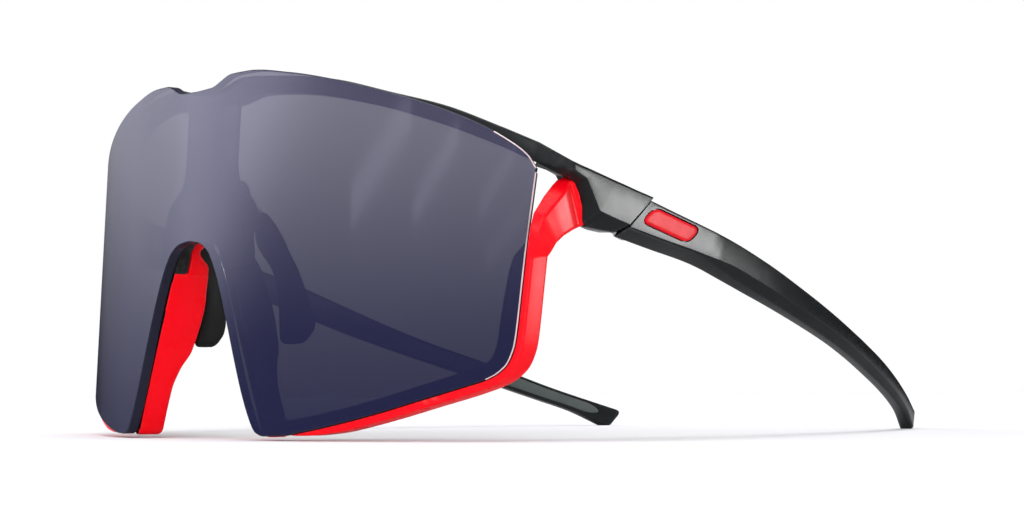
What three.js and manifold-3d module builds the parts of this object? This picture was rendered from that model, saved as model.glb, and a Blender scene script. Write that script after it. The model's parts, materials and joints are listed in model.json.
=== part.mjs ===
// Wraparound sport sunglasses: one curved shield lens, a brow frame behind its top edge, two red lower
// rims, an adjustable nosepiece and two folding temples. Millimetres, +Z up, the wearer looks along -Y,
// so the wearer's left is +X. They stand as they lie on a table: on the lower rims and the temple tips.
import * as THREE from "three";
import { mergeVertices } from "three/addons/utils/BufferGeometryUtils.js";
import Module from "manifold-3d";

const wasm = await Module();
wasm.setup();

// Driving dimensions. Y is counted from the plane that touches the lens, until the last step centres it all.
const GAP = 0.3; // air between two pieces that touch on the real object
const LENS_RADIUS = 106; // base 5 curve of the cylindrical lens
const LENS_THICKNESS = 2;
const LENS_EDGE = 67; // half the lens's width
const LEAN = Math.tan(THREE.MathUtils.degToRad(3)); // the lens leans back as it stands
const SEAT = LENS_THICKNESS + GAP; // depth at which the frame sits behind the lens
const BROW_DEPTH = 3.9;
const BRIDGE_DEPTH = 4.3;
const RIM_DEPTH = 4.8; // depth of the rim's inner edge behind the lens's outer surface
const HINGE = new THREE.Vector3(65.4, 49.2, 37.9); // middle of the left hinge's screw
const HINGE_TILT = THREE.MathUtils.degToRad(18); // the screw leans back, square to the temple
const KNUCKLE_RADIUS = 1.7;
const SCREW_RADIUS = 0.7;
const WASHER_THICKNESS = 0.25;
const KNUCKLE_GAP = 0.05;
const MIDDLE_KNUCKLE = 2.4; // length of the temple's knuckle along the screw
const OUTER_KNUCKLE = 1.3; // length of each of the frame's two knuckles
const BEND_POINT = new THREE.Vector3(6.2, 11, 43.3); // where the left nose pad's wire bends

const BLACK = { color: 0x1d2022, roughness: 0.55, metalness: 0 };
const RED = { color: 0xf0141e, roughness: 0.45, metalness: 0 };
const STEEL = { color: 0x9a9da0, roughness: 0.3, metalness: 1 };
const RUBBER = { color: 0x262a2a, roughness: 0.85, metalness: 0 };
const TINT = { color: 0x4a4a6a, roughness: 0.05, metalness: 0, transparent: true, opacity: 0.75 };
const NYLON = { color: 0xd8d8d0, roughness: 0.5, metalness: 0 };

const V = (x, y, z) => new THREE.Vector3(x, y, z);

// ---- curves and solids ----

// A smooth curve through points that never overshoots them (monotone cubic), as a function of the first value.
function through(points) {
  const slopes = points.slice(1).map((p, i) => (p[1] - points[i][1]) / (p[0] - points[i][0]));
  const tangents = points.map((_, i) => {
    const before = slopes[Math.max(i - 1, 0)];
    const after = slopes[Math.min(i, slopes.length - 1)];
    return before * after <= 0 ? 0 : (2 * before * after) / (before + after);
  });
  return (x) => {
    const last = points.length - 2;
    let i = 0;
    while (i < last && x > points[i + 1][0]) i += 1;
    const width = points[i + 1][0] - points[i][0];
    const t = THREE.MathUtils.clamp((x - points[i][0]) / width, 0, 1);
    const rise = t * t * (3 - 2 * t);
    const bend = tangents[i] * t * (1 - t) ** 2 - tangents[i + 1] * t * t * (1 - t);
    return points[i][1] * (1 - rise) + points[i + 1][1] * rise + bend * width;
  };
}

// Numbers from a to b in the given count of equal steps.
const steps = (a, b, count) => Array.from({ length: count + 1 }, (_, i) => a + ((b - a) * i) / count);

// The flat outline of a ring, for triangulating the cap that closes it.
function flatten(ring) {
  const normal = V(0, 0, 0);
  ring.forEach((p, i) => normal.add(p.clone().cross(ring[(i + 1) % ring.length])));
  normal.normalize();
  const across = ring[1].clone().sub(ring[0]).projectOnPlane(normal).normalize();
  const up = normal.clone().cross(across);
  return ring.map((p) => new THREE.Vector2(p.dot(across), p.dot(up)));
}

// A closed skin over rings of equal length, capped at both ends.
function skin(rings) {
  const size = rings[0].length;
  const index = [];
  rings.slice(1).forEach((_, r) => {
    for (let i = 0; i < size; i += 1) {
      const a = r * size + i;
      const b = r * size + ((i + 1) % size);
      index.push(a, b, b + size, a, b + size, a + size);
    }
  });
  const cap = (r, turn) =>
    THREE.ShapeUtils.triangulateShape(flatten(rings[r]), []).forEach((face) => {
      const [a, b, c] = face.map((i) => r * size + i);
      index.push(...(turn ? [a, b, c] : [a, c, b]));
    });
  cap(0, false);
  cap(rings.length - 1, true);
  const geometry = new THREE.BufferGeometry().setFromPoints(rings.flat());
  geometry.setIndex(index);
  return facingOut(geometry);
}

function facingOut(geometry) {
  const position = geometry.getAttribute("position");
  const index = geometry.getIndex().array;
  const corner = (i) => new THREE.Vector3().fromBufferAttribute(position, index[i]);
  let volume = 0;
  for (let i = 0; i < index.length; i += 3) volume += corner(i).dot(corner(i + 1).cross(corner(i + 2)));
  if (volume < 0) index.reverse();
  return geometry;
}

// A geometry as a manifold-3d solid, and back.
function solid(geometry) {
  const bare = new THREE.BufferGeometry().setAttribute("position", geometry.getAttribute("position"));
  bare.setIndex(geometry.getIndex());
  const merged = mergeVertices(bare, 1e-4);
  return new wasm.Manifold(
    new wasm.Mesh({
      numProp: 3,
      vertProperties: new Float32Array(merged.attributes.position.array),
      triVerts: new Uint32Array(merged.index.array),
    }),
  );
}

function geometryOf(made) {
  const mesh = made.getMesh();
  return new THREE.BufferGeometry()
    .setAttribute("position", new THREE.BufferAttribute(new Float32Array(mesh.vertProperties), 3))
    .setIndex(new THREE.BufferAttribute(new Uint32Array(mesh.triVerts), 1));
}

function box(low, high) {
  const size = high.clone().sub(low);
  const middle = low.clone().add(high).multiplyScalar(0.5);
  return solid(new THREE.BoxGeometry(size.x, size.y, size.z).translate(middle.x, middle.y, middle.z));
}

// Turns a solid that was made along Z at the origin, to stand at a point on the hinge's leaning axis.
function atHinge(geometry) {
  return solid(geometry.rotateX(-HINGE_TILT).translate(HINGE.x, HINGE.y, HINGE.z));
}

// A round bar on the hinge's axis, between two heights along it.
function hingeBar(radius, from, to, sides = 24) {
  const bar = new THREE.CylinderGeometry(radius, radius, to - from, sides).rotateX(Math.PI / 2);
  return atHinge(bar.translate(0, 0, (from + to) / 2));
}

// A tube along points, as a string of rings square to it.
function rod(points, radius, sides = 10) {
  const path = new THREE.CatmullRomCurve3(points);
  const shape = new THREE.Shape().absarc(0, 0, radius, 0, 2 * Math.PI);
  return new THREE.ExtrudeGeometry(new THREE.Shape(shape.getPoints(sides)), {
    steps: 3 * (points.length - 1),
    extrudePath: path,
  });
}

// ---- the lens ----

// A point of the lens's cylinder: x and z as seen from the front, and depth behind the outer surface.
function onLens(x, z, depth = 0) {
  const turn = Math.asin(x / LENS_RADIUS);
  const reach = LENS_RADIUS - depth;
  return V(reach * Math.sin(turn), LENS_RADIUS - reach * Math.cos(turn) + z * LEAN, z);
}

const topEdge = through([
  [0, 63.8], [4.5, 64], [10.5, 66], [15, 66.1], [25, 64.75], [34, 62.75], [45.5, 59.3], [52.6, 56.6],
  [59, 53.4], [63, 50.6], [65.8, 47.9], [LENS_EDGE, 45.6],
]);
const bottomEdge = through([
  [0, 36], [3, 35.6], [5.6, 34.2], [7.6, 31.6], [19.4, 2.9], [20.6, 1.4], [22.5, 0.8], [26, 0.9], [30, 1.45],
  [37.4, 2.95], [44.8, 4.85], [51.6, 7], [57.9, 9.1], [61.5, 10.5], [63.6, 12.3], [64.8, 15.5], [66, 32],
  [LENS_EDGE, 44.8],
]);
const LENS_STATIONS = [
  0, 1.5, 3, 4.5, 5.6, 6.6, 7.6, 9, 10.5, 13, 15, 17.3, 19.4, 20, 20.6, 21.4, 22.5, 24, 26, 30, 34, 37.4, 41,
  44.8, 48, 51.6, 55, 57.9, 60, 61.5, 62.7, 63.6, 64.3, 64.8, 65.3, 65.8, 66.4, LENS_EDGE,
];

function lens() {
  const half = (side) => LENS_STATIONS.map((x) => [side * x, topEdge(x), bottomEdge(x)]);
  const columns = [...half(-1).reverse(), ...half(1).slice(1)];
  return skin(
    columns.map(([x, top, bottom]) => [
      onLens(x, bottom),
      onLens(x, top),
      onLens(x, top, LENS_THICKNESS),
      onLens(x, bottom, LENS_THICKNESS),
    ]),
  );
}

// ---- the brow frame ----

const browTop = through([
  [0, 64.1], [5, 64.3], [11, 65.6], [20, 65], [32.3, 63.3], [44.1, 60], [53.1, 57.2], [61.4, 53.3], [LENS_EDGE, 50.3],
]);
const browBottom = through([
  [0, 60.6], [8, 60.9], [14.7, 62], [25, 61.3], [39, 58.5], [49.6, 55.1], [60.9, 50.1], [LENS_EDGE, 46.6],
]);

// Side stretch of the brow, from the lens's corner to the slanted split before the temple.
// Each row: top edge Y and Z, bottom edge Y and Z, share of the height where the outer flat ends.
const END_PIECE = [
  [31, 49, 30.4, 45.4, 0.85],
  [32.8, 48.3, 31.9, 44.7, 0.85],
  [34.5, 47.6, 34, 44, 0.8],
  [36, 47.1, 35.1, 40.4, 0.45],
  [38, 46.4, 35.7, 36.6, 0.35],
  [42.5, 44.8, 37.7, 35.9, 0.6],
  [46, 43.5, 39.6, 35.6, 0.76],
  [50.3, 42.2, 42.2, 35.4, 0.84],
];
const outerFace = through([[28, 64.4], [30.9, 67.6], [32.8, 69.6], [38, 70.3], [44, 71], [49.5, 71.5]]);
const innerFace = through([[30, 61.9], [34, 64.1], [38, 64.9], [49.5, 65.2]]);
const CHAMFER = 2.1;

function browRings() {
  const front = steps(0, LENS_EDGE, 22).map((x) => [
    onLens(x, browBottom(x), SEAT),
    onLens(x, browTop(x), SEAT),
    onLens(x, browTop(x), SEAT + 0.3),
    onLens(x, browTop(x) - 0.5, SEAT + BROW_DEPTH),
    onLens(x, browBottom(x), SEAT + BROW_DEPTH),
    onLens(x, browBottom(x), SEAT + 0.3),
  ]);
  const side = END_PIECE.map(([topY, topZ, lowY, lowZ, flat]) => {
    const at = (share) => [THREE.MathUtils.lerp(topY, lowY, share), THREE.MathUtils.lerp(topZ, lowZ, share)];
    const [flatY, flatZ] = at(flat);
    return [
      V(outerFace(flatY), flatY, flatZ),
      V(outerFace(topY) - 0.4, topY, topZ - 0.1),
      V(outerFace(topY) - 1, topY, topZ),
      V(innerFace(topY), topY, topZ),
      V(innerFace(lowY), lowY, lowZ),
      V(outerFace(lowY) - CHAMFER, lowY, lowZ),
    ];
  });
  return [...front, ...side];
}

const mirrored = (ring) => ring.map((p) => V(-p.x, p.y, p.z));

// A plate bent round the lens's axis, between two depths. The points are its left half, middle to middle.
function bentPlate(edge, front, back) {
  const rightHalf = edge.filter(([x]) => x > 0).reverse();
  const outline = [...edge, ...rightHalf.map(([x, z]) => [-x, z])].map(([x, z]) => new THREE.Vector2(x, z));
  const plate = new THREE.ExtrudeGeometry(new THREE.Shape(outline), { depth: back - front, bevelEnabled: false });
  const position = plate.getAttribute("position");
  for (let i = 0; i < position.count; i += 1) {
    const p = onLens(position.getX(i), position.getY(i), back - position.getZ(i));
    position.setXYZ(i, p.x, p.y, p.z);
  }
  return facingOut(clean(plate));
}

// The bridge: a column below the brow's middle that spreads into a saddle over the nose notch.
function bridge() {
  const edge = [
    [6, 61.5], [5.9, 50], [7, 46.2], [10.8, 44], [12.6, 41.4], [13.2, 38], [14.2, 33.6], [13.4, 31.6], [8.2, 30.9],
    [6.4, 34.3], [4, 36.2], [0, 36.9],
  ];
  return solid(bentPlate([[0, 61.5], ...edge], SEAT, SEAT + BRIDGE_DEPTH));
}

function browFrame() {
  const right = browRings();
  const bar = solid(skin([...right.map(mirrored).reverse(), ...right.slice(1)]));
  const cuts = [widened(FRAME_PLATE, GAP), hingeBar(KNUCKLE_RADIUS + GAP, -9, 9), rimPocket()];
  const both = cuts.flatMap((cut) => [cut, cut.mirror([1, 0, 0])]);
  return geometryOf(both.reduce((left, cut) => left.subtract(cut), bar.add(bridge())));
}

// ---- the hinge ----

// A box by distances from the hinge's axis: across (X), along the temple and up the axis.
function hingeBox(across, along, up) {
  const size = [across, along, up].map(([a, b]) => b - a);
  const middle = [across, along, up].map(([a, b]) => (a + b) / 2);
  return atHinge(new THREE.BoxGeometry(...size).translate(...middle));
}

const STACK = MIDDLE_KNUCKLE / 2 + WASHER_THICKNESS + 2 * KNUCKLE_GAP;
const FRAME_PLATE = { across: [-0.9, 0.6], along: [-9.5, -2.2], up: [-2.7, 2.7] };
const TEMPLE_PLATE = { across: [1.1, 2.5], along: [2.2, 10], up: [-1.9, 1.9] };
const TEMPLE_ARM = { across: [0, 2.5], along: [0, 2.6], up: [-MIDDLE_KNUCKLE / 2, MIDDLE_KNUCKLE / 2] };

const widened = (plate, by) =>
  hingeBox(
    [plate.across[0] - by, plate.across[1] + by],
    [plate.along[0] - by, plate.along[1] + by],
    [plate.up[0] - by, plate.up[1] + by],
  );

function frameLeaf() {
  const knuckle = (from, to) =>
    hingeBar(KNUCKLE_RADIUS, from, to).add(hingeBox(FRAME_PLATE.across, [-2.6, 0], [from, to]));
  const bore = hingeBar(SCREW_RADIUS + 0.05, -9, 9);
  return widened(FRAME_PLATE, 0)
    .add(knuckle(STACK, STACK + OUTER_KNUCKLE))
    .add(knuckle(-STACK - OUTER_KNUCKLE, -STACK))
    .subtract(bore);
}

function templeLeaf() {
  const half = MIDDLE_KNUCKLE / 2;
  return widened(TEMPLE_PLATE, 0)
    .add(hingeBar(KNUCKLE_RADIUS, -half, half))
    .add(widened(TEMPLE_ARM, 0))
    .subtract(hingeBar(SCREW_RADIUS + 0.05, -9, 9));
}

function screw() {
  const top = STACK + OUTER_KNUCKLE;
  const shaft = hingeBar(SCREW_RADIUS, -top - 0.4, top + 0.3);
  const head = hingeBar(1.35, top + 0.1, top + 0.9);
  const slot = hingeBox([-0.2, 0.2], [-2, 2], [top + 0.5, top + 2]);
  return shaft.add(head).subtract(slot);
}

function washer(side) {
  const near = side * (MIDDLE_KNUCKLE / 2 + KNUCKLE_GAP);
  const far = near + side * WASHER_THICKNESS;
  const [low, high] = [Math.min(near, far), Math.max(near, far)];
  return hingeBar(KNUCKLE_RADIUS - 0.1, low, high).subtract(hingeBar(SCREW_RADIUS + 0.06, low - 1, high + 1));
}

// ---- the temples ----

const templeTop = through([
  [49.6, 41.2], [56, 39.4], [64, 37.2], [72, 34.9], [80, 32.2], [96, 26.3], [112, 20.5], [128, 15.1], [144, 9],
  [152, 6.1], [158, 3.9],
]);
const templeBottom = through([
  [43.6, 36.2], [52, 34.3], [62, 32.1], [71, 29.2], [81, 25.7], [92, 22], [108, 17], [124, 11.9], [140, 6.5],
  [148, 3.6], [155, 0],
]);
const templeOuter = through([
  [43, 71.5], [64, 71.6], [76, 71.3], [84, 70.8], [92, 69.7], [100, 68.3], [108, 66.5], [116, 64.3], [124, 61.6],
  [132, 58.9], [140, 55.8], [148, 52.1], [158, 46.8],
]);
const templeThickness = through([[43, 4], [60, 4.2], [84, 4.4], [108, 3.9], [158, 3.6]]);
const bottomTilt = through([[43, 1.5], [70, 1], [95, 0.1], [158, 0]]); // how far the inner edge hangs below
const templeLag = through([[49.6, 5.8], [60, 3.4], [72, 2.2], [144, 2], [158, 3]]); // slant of the sections
const TEMPLE_ROUND = 0.7;

function templeRing(topY) {
  const r = TEMPLE_ROUND;
  const lowY = topY - templeLag(topY);
  const [top, low] = [templeTop(topY), templeBottom(lowY)];
  const outTop = templeOuter(topY);
  const outLow = templeOuter(lowY);
  const inTop = outTop - templeThickness(topY);
  const inLow = outLow - templeThickness(lowY);
  const share = r / (top - low);
  const [highY, nearLowY] = [THREE.MathUtils.lerp(topY, lowY, share), THREE.MathUtils.lerp(lowY, topY, share)];
  return [
    V(outLow, nearLowY, low + r),
    V(outTop, highY, top - r),
    V(outTop - r, topY, top),
    V(inTop + r, topY, top),
    V(inTop, highY, top - r),
    V(inLow, nearLowY, low + r - bottomTilt(lowY)),
    V(inLow + r, lowY, low - bottomTilt(lowY)),
    V(outLow - r, lowY, low),
  ];
}

const TIP = 158;
const TIP_ROUND = 1.6;
// The last rings shrink towards the tip's middle, which rounds it.
function tipRings() {
  return [[0.35, 0.94], [0.75, 0.78], [1, 0.5]].map(([travel, size]) => {
    const ring = templeRing(TIP);
    const middle = ring.reduce((sum, p) => sum.add(p), V(0, 0, 0)).divideScalar(ring.length);
    const out = V(-0.5, 0.8, -0.33).multiplyScalar(travel * TIP_ROUND);
    return ring.map((p) => p.sub(middle).multiplyScalar(size).add(middle).add(out));
  });
}

const GRIP = { from: 102, to: 153, depth: 1, proud: 0.3, margin: 0.65, round: 4 };

// Half the height of the soft insert where the temple's top edge is at topY; it closes in at both ends.
function gripHalf(topY) {
  const height = templeTop(topY) - templeBottom(topY - templeLag(topY));
  const end = Math.min(topY - GRIP.from, GRIP.to - topY);
  const closing = THREE.MathUtils.clamp(1 - end / GRIP.round, 0, 0.9);
  return (height / 2 - GRIP.margin) * Math.sqrt(1 - closing ** 2);
}

// The soft insert of the temple's inner face; grown by a margin it is the pocket that takes it.
function gripSolid(grow) {
  return skin(
    steps(GRIP.from - grow, GRIP.to + grow, 16).map((topY) => {
      const lowY = topY - templeLag(topY);
      const [top, low] = [templeTop(topY), templeBottom(lowY)];
      const at = (z, inward) => {
        const y = THREE.MathUtils.lerp(topY, lowY, (top - z) / (top - low));
        return V(templeOuter(y) - templeThickness(y) + inward, y, z);
      };
      const half = gripHalf(topY) + grow;
      const [high, foot] = [(top + low) / 2 + half, (top + low) / 2 - half];
      const [inside, outside] = [GRIP.depth + grow, -GRIP.proud - 3 * grow];
      return [at(foot, inside), at(high, inside), at(high, outside), at(foot, outside)];
    }),
  );
}

// The flat inlay on the temple's outer face: a slanted bar with round corners.
const BADGE = { length: 11.6, height: 3.5, y: 54.3, z: 37.1, depth: 0.8, slope: -0.27, slant: 0.9, corner: 1.2 };

function badgeSolid(grow, depth, proud) {
  const { length, height, corner } = BADGE;
  const [w, h, r] = [length / 2 + grow, height / 2 + grow, corner + grow];
  const shape = new THREE.Shape();
  shape.absarc(w - r, h - r, r, 0, Math.PI / 2);
  shape.absarc(-w + r, h - r, r, Math.PI / 2, Math.PI);
  shape.absarc(-w + r, -h + r, r, Math.PI, 1.5 * Math.PI);
  shape.absarc(w - r, -h + r, r, 1.5 * Math.PI, 2 * Math.PI);
  const plate = new THREE.ExtrudeGeometry(new THREE.Shape(shape.getPoints(5)), {
    depth: depth + proud,
    bevelEnabled: false,
  });
  const position = plate.getAttribute("position");
  for (let i = 0; i < position.count; i += 1) {
    const [u, v, w2] = [position.getX(i), position.getY(i), position.getZ(i)];
    const y = BADGE.y + u + v * BADGE.slant;
    position.setXYZ(i, templeOuter(BADGE.y) - depth + w2, y, BADGE.z + v + (y - BADGE.y) * BADGE.slope);
  }
  return facingOut(clean(plate));
}

function temple() {
  const rings = [...steps(49.6, TIP, 26).map(templeRing), ...tipRings()];
  return geometryOf(
    solid(skin(rings))
      .subtract(widened(TEMPLE_PLATE, GAP))
      .subtract(widened(TEMPLE_ARM, GAP))
      .subtract(hingeBar(KNUCKLE_RADIUS + GAP, -5, 5))
      .subtract(solid(gripSolid(GAP)))
      .subtract(solid(badgeSolid(0.2, BADGE.depth + GAP, 1)))
      .intersect(box(V(0, 0, 0), V(99, 200, 99))),
  );
}

// ---- the lower rims ----

// A section of the rim at a point of the lens's edge, with the angle of the outward direction there.
// ledge is how far the rim reaches inwards behind the lens, lip how far it stands outside the edge, and
// back how far its outer wall runs straight backwards, along Y.
function rimSection(x, z, angle, ledge, lip, back) {
  const [c, s] = [Math.cos(THREE.MathUtils.degToRad(angle)), Math.sin(THREE.MathUtils.degToRad(angle))];
  const at = (out, depth) => onLens(x + out * c, z + out * s, depth);
  const outer = (out, behind) => at(out, 0).add(V(0, behind, 0));
  return [outer(lip, 0.4), at(GAP, 0.5), at(GAP, SEAT), at(-ledge, SEAT), at(-ledge, RIM_DEPTH), outer(lip, back)];
}

// The strut that leaves the lens's edge and climbs back to the end piece, in the same order as a section.
const STRUT = [
  [[69, 32.2, 43], [68, 30.6, 43.7], [66, 30.6, 43.7], [64.9, 31, 43.4], [64.8, 34.6, 36.6], [69.2, 34.8, 36.5]],
  [[68.9, 31.2, 41.5], [67.9, 29.6, 42.4], [66.4, 29.6, 42.4], [64.6, 30.2, 41.6], [64.6, 33.4, 35.4], [69, 33.6, 35.4]],
  [[68.1, 29.2, 38.8], [67.2, 27.6, 40], [65.8, 27.9, 39.8], [63.4, 28.6, 38.6], [63.6, 31.4, 33.6], [68.3, 31.3, 33.7]],
];

function rimRings() {
  const strut = STRUT.map((ring) => ring.map((p) => V(...p)));
  const edge = (z) => THREE.MathUtils.mapLinear(z, 15.5, 44.8, 64.8, LENS_EDGE);
  const side = [[35.2, 1.7], [31.5, 2.6], [27, 2.8], [21, 2.8], [16.5, 2.8]].map(([z, ledge]) =>
    rimSection(edge(z), z, -3, ledge, 0.9, 4.3),
  );
  const corner = [[64.6, 14, -14], [63.9, 12.6, -34], [62.6, 11.3, -52], [60.6, 10.1, -66]].map(([x, z, angle]) =>
    rimSection(x, z, angle, 2.8, 1, 4.6),
  );
  const under = [57, 51.6, 46, 40, 35, 30, 27].map((x) => {
    const slope = (bottomEdge(x + 1) - bottomEdge(x - 1)) / 2;
    const angle = -90 + THREE.MathUtils.radToDeg(Math.atan(slope));
    return rimSection(x, bottomEdge(x), angle, 2.5, x > 30 ? 1.25 : 1, 4.8);
  });
  const end = [[24.5, 0.85, -90, 2.7, 0.9], [22.4, 0.85, -96, 3, 0.9], [20.7, 1.5, -125, 3.2, 0.9]].map((row) =>
    rimSection(...row, 5),
  );
  return [...strut, ...side, ...corner, ...under, ...end];
}

// The fin beside the nose: front depth and back depth behind the lens at each height.
const finBack = through([[-1, 7.2], [9, 7.4], [13, 8.3], [16.5, 9.9], [24, 10.7], [31, 10.5], [34.5, 9.6], [37, 8.4]]);
const FIN_THICKNESS = 2.6;
const FIN_TOP = 37;
const SADDLE_FOOT = 30.6; // below this the fin fills the space behind the lens, above it a hook passes the saddle
const HOOK_DEPTH = SEAT + BRIDGE_DEPTH + 0.4;

function fin() {
  const legX = (z) => THREE.MathUtils.mapLinear(z, 2.9, 31.6, 19.4, 7.6);
  const ring = (z, front) => {
    const x = legX(z) + 0.25;
    return [
      onLens(x, z, front),
      onLens(x, z, finBack(z)),
      onLens(x + FIN_THICKNESS, z, finBack(z) - 0.3),
      onLens(x + FIN_THICKNESS, z, front),
    ];
  };
  const lower = [-1, 4, 9, 13, 16.5, 20, 24, 28, SADDLE_FOOT - 0.1].map((z) => ring(z, SEAT));
  const hook = [SADDLE_FOOT, 32.5, 34.5, 36, FIN_TOP].map((z) => ring(z, HOOK_DEPTH));
  return solid(skin([...lower, ...hook]));
}

const TONGUE = [V(66, 32, 38.6), V(67.9, 38.4, 41.4)];
const rimPocket = () => box(TONGUE[0].clone().subScalar(GAP), TONGUE[1].clone().addScalar(GAP));

function lowerRim() {
  const floor = box(V(0, -5, 0), V(90, 60, 60));
  return geometryOf(solid(skin(rimRings())).add(fin()).add(box(...TONGUE)).intersect(floor));
}

// ---- the nosepiece ----

// The left pad's line from its foot to the wire, with the pad's width, thickness and turn at each point.
const PAD = [
  [V(14.4, 17, 17.2), 4, 1.6, 24],
  [V(14.3, 17, 18.2), 6.4, 2.6, 24],
  [V(14, 16.6, 21), 7, 3, 24],
  [V(13.3, 15.6, 25.5), 5.8, 3, 22],
  [V(12.4, 14.4, 30.5), 4.4, 2.8, 20],
  [V(11.4, 13.2, 35), 3.6, 2.6, 14],
  [V(10, 12.4, 38.6), 3, 2.5, 8],
  [V(8.5, 11.8, 41), 2.8, 2.4, 4],
];
const PAD_CORNERS = 12;

function padRing([centre, width, thickness, turn]) {
  const a = THREE.MathUtils.degToRad(turn);
  return steps(0, 2 * Math.PI, PAD_CORNERS)
    .slice(1)
    .map((t) => {
      const u = (width / 2) * Math.sign(Math.cos(t)) * Math.abs(Math.cos(t)) ** 0.75;
      const v = (thickness / 2) * Math.sign(Math.sin(t)) * Math.abs(Math.sin(t)) ** 0.75;
      return V(centre.x + u * Math.sin(a) + v * Math.cos(a), centre.y + u * Math.cos(a) - v * Math.sin(a), centre.z);
    });
}

const CORE_RADIUS = 0.6;
const coreLine = () => [BEND_POINT.clone(), ...PAD.slice(2).reverse().map(([p]) => p.clone())];

function nosePad() {
  const line = coreLine();
  return geometryOf(solid(skin(PAD.map(padRing))).subtract(solid(clean(rod(line, CORE_RADIUS + GAP, 8)))));
}

function clean(geometry) {
  geometry.deleteAttribute("normal");
  geometry.deleteAttribute("uv");
  return mergeVertices(geometry, 1e-4);
}

function padCore() {
  return facingOut(clean(rod(coreLine(), CORE_RADIUS, 8)));
}

// The rigid clip behind the bridge that holds both wires.
function noseCarrier() {
  const edge = [[0, 48], [3.4, 47.8], [5, 46.2], [5.4, 44], [4.6, 41.2], [2.4, 40], [0, 39.8]];
  const front = SEAT + BRIDGE_DEPTH + 2 * GAP;
  return bentPlate(edge, front, front + 3);
}

// ---- assembly ----

const glasses = new THREE.Group();

function add(name, geometry, finish, mirror = false) {
  const mesh = new THREE.Mesh(geometry, new THREE.MeshStandardMaterial(finish));
  mesh.name = name;
  if (mirror) mesh.scale.x = -1;
  glasses.add(mesh);
}

add("lens", lens(), TINT);
add("brow_frame", browFrame(), BLACK);
add("nose_carrier", noseCarrier(), BLACK);

for (const side of ["left", "right"]) {
  const mirror = side === "right";
  add(`lower_rim_${side}`, lowerRim(), RED, mirror);
  add(`nose_pad_${side}`, nosePad(), RUBBER, mirror);
  add(`nose_wire_${side}`, padCore(), STEEL, mirror);
  add(`temple_${side}`, temple(), BLACK, mirror);
  add(`temple_grip_${side}`, gripSolid(0), RUBBER, mirror);
  add(`temple_inlay_${side}`, badgeSolid(0, BADGE.depth, 0.15), RED, mirror);
  add(`hinge_frame_leaf_${side}`, geometryOf(frameLeaf()), STEEL, mirror);
  add(`hinge_temple_leaf_${side}`, geometryOf(templeLeaf()), STEEL, mirror);
  add(`hinge_screw_${side}`, geometryOf(screw()), STEEL, mirror);
  add(`hinge_washer_upper_${side}`, geometryOf(washer(1)), NYLON, mirror);
  add(`hinge_washer_lower_${side}`, geometryOf(washer(-1)), NYLON, mirror);
}

// The origin is under the middle of the glasses, on the surface they stand on.
const extent = new THREE.Box3().setFromObject(glasses, true);
const centre = extent.getCenter(new THREE.Vector3());
glasses.position.set(-centre.x, -centre.y, -extent.min.z);

export default glasses;
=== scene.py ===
"""Wraparound sport sunglasses: looks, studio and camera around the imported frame, in Blender 4.5."""

import json
import math

import bmesh
import bpy
import numpy as np
from mathutils import Matrix, Vector

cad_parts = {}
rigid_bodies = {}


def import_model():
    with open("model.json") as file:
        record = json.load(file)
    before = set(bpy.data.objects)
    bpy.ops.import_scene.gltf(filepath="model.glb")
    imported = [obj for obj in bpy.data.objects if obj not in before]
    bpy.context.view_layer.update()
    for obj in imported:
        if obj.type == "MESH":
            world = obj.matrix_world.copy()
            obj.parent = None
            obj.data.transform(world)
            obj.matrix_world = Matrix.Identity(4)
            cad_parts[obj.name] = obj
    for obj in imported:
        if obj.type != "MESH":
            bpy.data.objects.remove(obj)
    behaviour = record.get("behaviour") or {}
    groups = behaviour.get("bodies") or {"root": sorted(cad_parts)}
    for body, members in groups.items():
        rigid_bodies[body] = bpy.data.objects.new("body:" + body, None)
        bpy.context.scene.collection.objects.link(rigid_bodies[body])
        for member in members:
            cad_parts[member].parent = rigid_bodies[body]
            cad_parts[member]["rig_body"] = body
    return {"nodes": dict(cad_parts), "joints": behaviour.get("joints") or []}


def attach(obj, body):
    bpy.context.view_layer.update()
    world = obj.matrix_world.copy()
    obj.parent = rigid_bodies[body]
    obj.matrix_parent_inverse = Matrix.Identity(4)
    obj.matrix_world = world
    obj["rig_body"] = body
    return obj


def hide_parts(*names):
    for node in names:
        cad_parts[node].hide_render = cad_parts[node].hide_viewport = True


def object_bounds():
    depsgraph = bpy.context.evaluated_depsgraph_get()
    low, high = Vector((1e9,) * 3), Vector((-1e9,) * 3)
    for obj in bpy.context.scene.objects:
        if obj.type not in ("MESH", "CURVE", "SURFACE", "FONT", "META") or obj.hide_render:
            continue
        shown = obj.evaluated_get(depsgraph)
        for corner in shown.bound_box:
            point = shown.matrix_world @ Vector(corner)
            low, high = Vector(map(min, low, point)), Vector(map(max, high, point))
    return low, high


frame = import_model()
cad_low, cad_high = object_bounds()
scene = bpy.context.scene

# ---- the shared shape, in millimetres ----
# X is the wearer's left, Y runs back from the plane that touches the lens, Z is the height over the table.

LENS_RADIUS = 106.0
LENS_THICKNESS = 2.0
LENS_EDGE = 67.0
LENS_BEVEL = 0.17
LEAN = math.tan(math.radians(3))
SEAT = LENS_THICKNESS + 0.15
BROW_DEPTH = 3.9
BRIDGE_DEPTH = 4.3
RIM_DEPTH = 4.8
HINGE = np.array([65.4, 49.2, 37.9])
HINGE_TILT = math.radians(18)

fold = next(j for j in frame["joints"] if j["name"] == "temple_left_fold")
ORIGIN = np.array(fold["pos_m"]) * 1000 - HINGE  # where this frame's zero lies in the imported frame


def metres(points):
    """Points in this file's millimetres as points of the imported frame."""
    return (np.asarray(points, float) + ORIGIN) / 1000


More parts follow.
